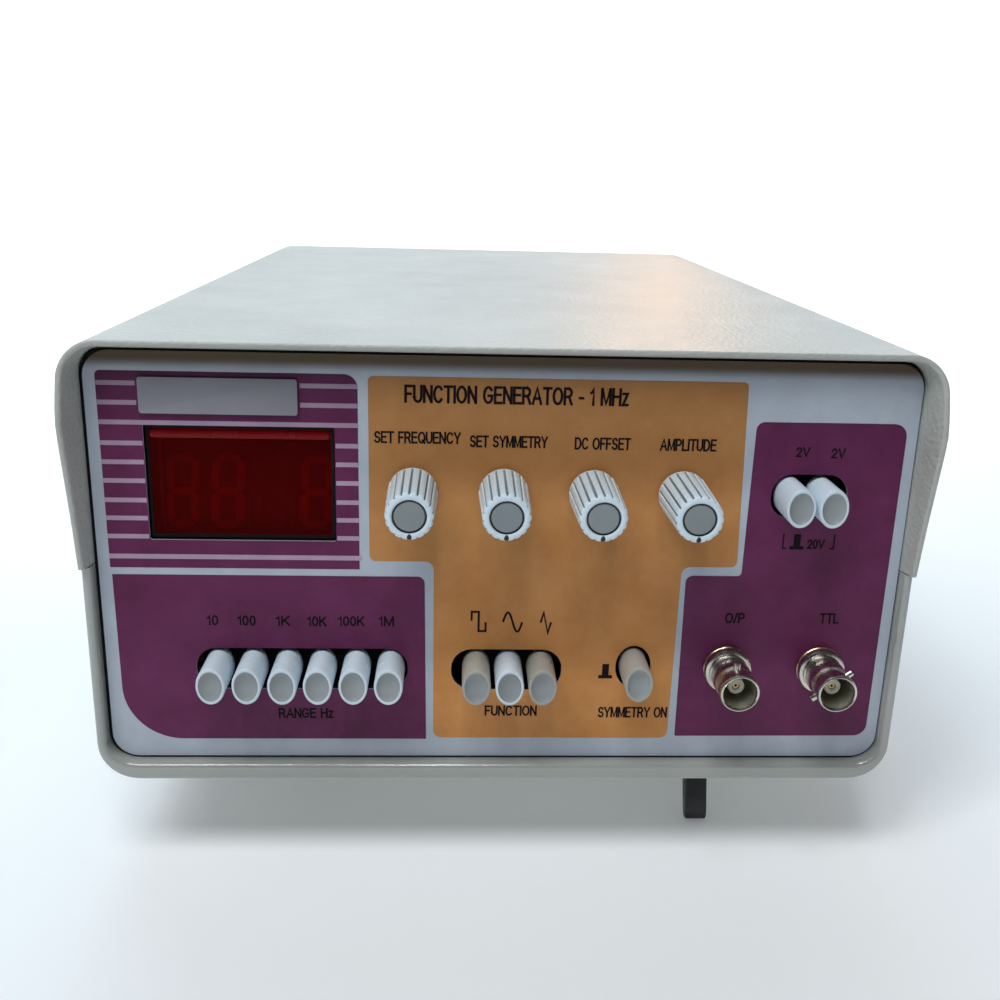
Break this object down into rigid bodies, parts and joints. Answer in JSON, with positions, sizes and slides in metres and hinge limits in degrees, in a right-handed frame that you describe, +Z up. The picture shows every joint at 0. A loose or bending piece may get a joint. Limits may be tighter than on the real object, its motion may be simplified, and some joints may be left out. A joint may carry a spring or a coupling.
{
  "type": "function generator",
  "caption": "Bench function generator with two-shell case, red LED readout, push-button switches, fluted knobs, BNC outputs and flip-down front legs.",
  "frame": {"origin": "centre of the bounding box on the surface it stands on", "axes": "+Y from the front panel to the rear, +X to the right of the front panel, +Z up; the case leans back on its right front leg, and the left one is folded up"},
  "size_m": [0.202, 0.2996, 0.1384],
  "materials": {
    "case_plastic": "orange-peel textured, satin",
    "printed_film": "printed film, satin",
    "panel_aluminium": "satin",
    "red_filter": "polished red filter",
    "black_plastic": "satin",
    "button_plastic": "smooth",
    "knob_plastic": "satin",
    "cap_plastic": "satin",
    "steel": "plated",
    "nickel": "nickel plated",
    "insulator": "smooth",
    "board_green": "solder mask",
    "winding_tape": "tape",
    "foot_rubber": "matte",
    "label_plate": "brushed, blank",
    "digit_block": "smooth"
  },
  "bodies": {
    "case": {"attenuator_switch_bank": "steel", "bnc_output_body": "nickel", "bnc_output_insulator": "insulator", "bnc_ttl_body": "nickel", "bnc_ttl_insulator": "insulator", "bottom_cover": "case_plastic", "digit_pair_1": "digit_block", "digit_pair_2": "digit_block", "display_bezel": "black_plastic", "display_board": "board_green", "display_window": "red_filter", "front_film": "printed_film", "front_panel": "panel_aluminium", "fuse_holder": "black_plastic", "label_plate": "label_plate", "main_board": "board_green", "mains_inlet": "black_plastic", "potentiometer_amplitude": "steel", "potentiometer_frequency": "steel", "potentiometer_offset": "steel", "potentiometer_symmetry": "steel", "power_switch": "black_plastic", "range_switch_bank": "steel", "rear_foot_left": "foot_rubber", "rear_foot_right": "foot_rubber", "rear_panel": "panel_aluminium", "symmetry_switch": "steel", "top_cover": "case_plastic", "transformer_core": "steel", "transformer_winding": "winding_tape", "wave_switch_bank": "steel"},
    "attenuator_button_a": {"attenuator_button_a": "button_plastic"},
    "attenuator_button_b": {"attenuator_button_b": "button_plastic"},
    "range_button_10": {"range_button_10": "button_plastic"},
    "range_button_100": {"range_button_100": "button_plastic"},
    "range_button_100k": {"range_button_100k": "button_plastic"},
    "range_button_10k": {"range_button_10k": "button_plastic"},
    "range_button_1k": {"range_button_1k": "button_plastic"},
    "range_button_1m": {"range_button_1m": "button_plastic"},
    "symmetry_button": {"symmetry_button": "button_plastic"},
    "wave_button_sine": {"wave_button_sine": "button_plastic"},
    "wave_button_square": {"wave_button_square": "button_plastic"},
    "wave_button_triangle": {"wave_button_triangle": "button_plastic"},
    "knob_frequency": {"knob_frequency": "knob_plastic", "knob_frequency_cap": "cap_plastic", "knob_frequency_shaft": "steel"},
    "knob_symmetry": {"knob_symmetry": "knob_plastic", "knob_symmetry_cap": "cap_plastic", "knob_symmetry_shaft": "steel"},
    "knob_offset": {"knob_offset": "knob_plastic", "knob_offset_cap": "cap_plastic", "knob_offset_shaft": "steel"},
    "knob_amplitude": {"knob_amplitude": "knob_plastic", "knob_amplitude_cap": "cap_plastic", "knob_amplitude_shaft": "steel"},
    "tilt_leg_left": {"tilt_leg_left": "black_plastic"},
    "tilt_leg_right": {"tilt_leg_right": "black_plastic"},
    "power_rocker": {"power_rocker": "black_plastic"},
    "fuse_cap": {"fuse_cap": "black_plastic"}
  },
  "joints": [
    {"name": "attenuator_button_a_press", "type": "slide", "parent": "case", "child": "attenuator_button_a", "axis": [0, 0.9971, -0.0763], "range_m": [0, 0.004], "stiffness_N_per_m": 400},
    {"name": "attenuator_button_b_press", "type": "slide", "parent": "case", "child": "attenuator_button_b", "axis": [0, 0.9971, -0.0763], "range_m": [0, 0.004], "stiffness_N_per_m": 400},
    {"name": "range_button_10_press", "type": "slide", "parent": "case", "child": "range_button_10", "axis": [0, 0.9971, -0.0763], "range_m": [0, 0.004], "stiffness_N_per_m": 400},
    {"name": "range_button_100_press", "type": "slide", "parent": "case", "child": "range_button_100", "axis": [0, 0.9971, -0.0763], "range_m": [0, 0.004], "stiffness_N_per_m": 400},
    {"name": "range_button_100k_press", "type": "slide", "parent": "case", "child": "range_button_100k", "axis": [0, 0.9971, -0.0763], "range_m": [0, 0.004], "stiffness_N_per_m": 400},
    {"name": "range_button_10k_press", "type": "slide", "parent": "case", "child": "range_button_10k", "axis": [0, 0.9971, -0.0763], "range_m": [0, 0.004], "stiffness_N_per_m": 400},
    {"name": "range_button_1k_press", "type": "slide", "parent": "case", "child": "range_button_1k", "axis": [0, 0.9971, -0.0763], "range_m": [0, 0.004], "stiffness_N_per_m": 400},
    {"name": "range_button_1m_press", "type": "slide", "parent": "case", "child": "range_button_1m", "axis": [0, 0.9971, -0.0763], "range_m": [0, 0.004], "stiffness_N_per_m": 400},
    {"name": "symmetry_button_press", "type": "slide", "parent": "case", "child": "symmetry_button", "axis": [0, 0.9971, -0.0763], "range_m": [0, 0.004], "stiffness_N_per_m": 400},
    {"name": "wave_button_sine_press", "type": "slide", "parent": "case", "child": "wave_button_sine", "axis": [0, 0.9971, -0.0763], "range_m": [0, 0.004], "stiffness_N_per_m": 400},
    {"name": "wave_button_square_press", "type": "slide", "parent": "case", "child": "wave_button_square", "axis": [0, 0.9971, -0.0763], "range_m": [0, 0.004], "stiffness_N_per_m": 400},
    {"name": "wave_button_triangle_press", "type": "slide", "parent": "case", "child": "wave_button_triangle", "axis": [0, 0.9971, -0.0763], "range_m": [0, 0.004], "stiffness_N_per_m": 400},
    {"name": "knob_frequency_turn", "type": "hinge", "parent": "case", "child": "knob_frequency", "pos_m": [-0.0223, -0.13007, 0.1025], "axis": [0, -0.9971, 0.0763], "range_deg": [-150, 150]},
    {"name": "knob_symmetry_turn", "type": "hinge", "parent": "case", "child": "knob_symmetry", "pos_m": [-0.0007, -0.13007, 0.1025], "axis": [0, -0.9971, 0.0763], "range_deg": [-150, 150]},
    {"name": "knob_offset_turn", "type": "hinge", "parent": "case", "child": "knob_offset", "pos_m": [0.0209, -0.13007, 0.1025], "axis": [0, -0.9971, 0.0763], "range_deg": [-150, 150]},
    {"name": "knob_amplitude_turn", "type": "hinge", "parent": "case", "child": "knob_amplitude", "pos_m": [0.0425, -0.13007, 0.1025], "axis": [0, -0.9971, 0.0763], "range_deg": [-150, 150]},
    {"name": "tilt_leg_left_fold", "type": "hinge", "parent": "case", "child": "tilt_leg_left", "pos_m": [-0.0568, -0.11425, 0.02086], "axis": [1, 0, 0], "range_deg": [-104, 0]},
    {"name": "tilt_leg_right_fold", "type": "hinge", "parent": "case", "child": "tilt_leg_right", "pos_m": [0.0568, -0.11425, 0.02086], "axis": [1, 0, 0], "range_deg": [0, 104]},
    {"name": "power_rocker_rock", "type": "hinge", "parent": "case", "child": "power_rocker", "pos_m": [0.024, 0.13385, 0.04158], "axis": [0, 0.0763, 0.9971], "range_deg": [-14, 0]},
    {"name": "fuse_cap_twist", "type": "hinge", "parent": "case", "child": "fuse_cap", "pos_m": [-0.004, 0.13435, 0.04154], "axis": [0, 0.9971, -0.0763], "range_deg": [0, 45]}
  ]
}
